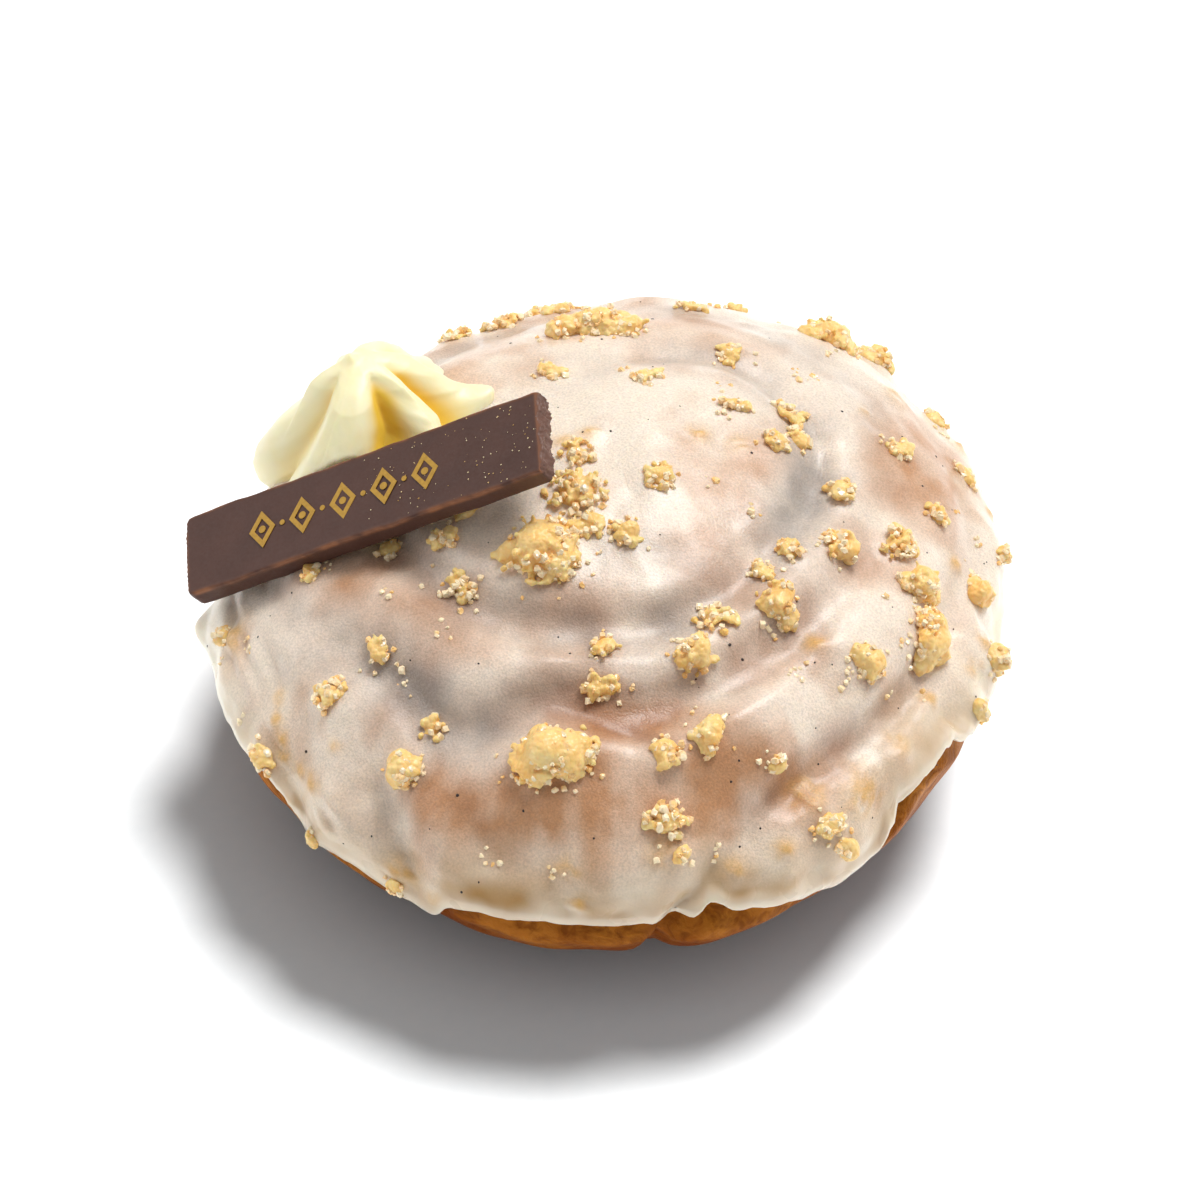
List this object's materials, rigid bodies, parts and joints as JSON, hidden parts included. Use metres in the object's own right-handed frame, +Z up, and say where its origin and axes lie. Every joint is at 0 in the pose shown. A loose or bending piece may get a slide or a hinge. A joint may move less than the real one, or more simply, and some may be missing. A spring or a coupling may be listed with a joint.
{
  "type": "glazed scroll doughnut",
  "caption": "Round glazed scroll bun with a soft spiral crown, stuck-on crumble, a piped cream rosette and a chocolate bar leaning on it.",
  "frame": {"origin": "middle of the flat foot that the bun stands on", "axes": "+Z up through the crown, -Y toward the side that faces the viewer, +X to the viewer's right; the rosette is on the -X side"},
  "size_m": [0.1136, 0.113, 0.066],
  "materials": {
    "baked_dough": "browned crust, dry and matt",
    "sugar_glaze": "off-white sugar glaze, half clear, satin to glossy, with golden crumble",
    "buttercream": "soft pale yellow cream, satin",
    "dark_chocolate": "dark chocolate, satin"
  },
  "bodies": {
    "root": {"scroll_dough": "baked_dough", "sugar_glaze": "sugar_glaze", "cream_rosette": "buttercream", "chocolate_bar": "dark_chocolate"}
  },
  "joints": []
}
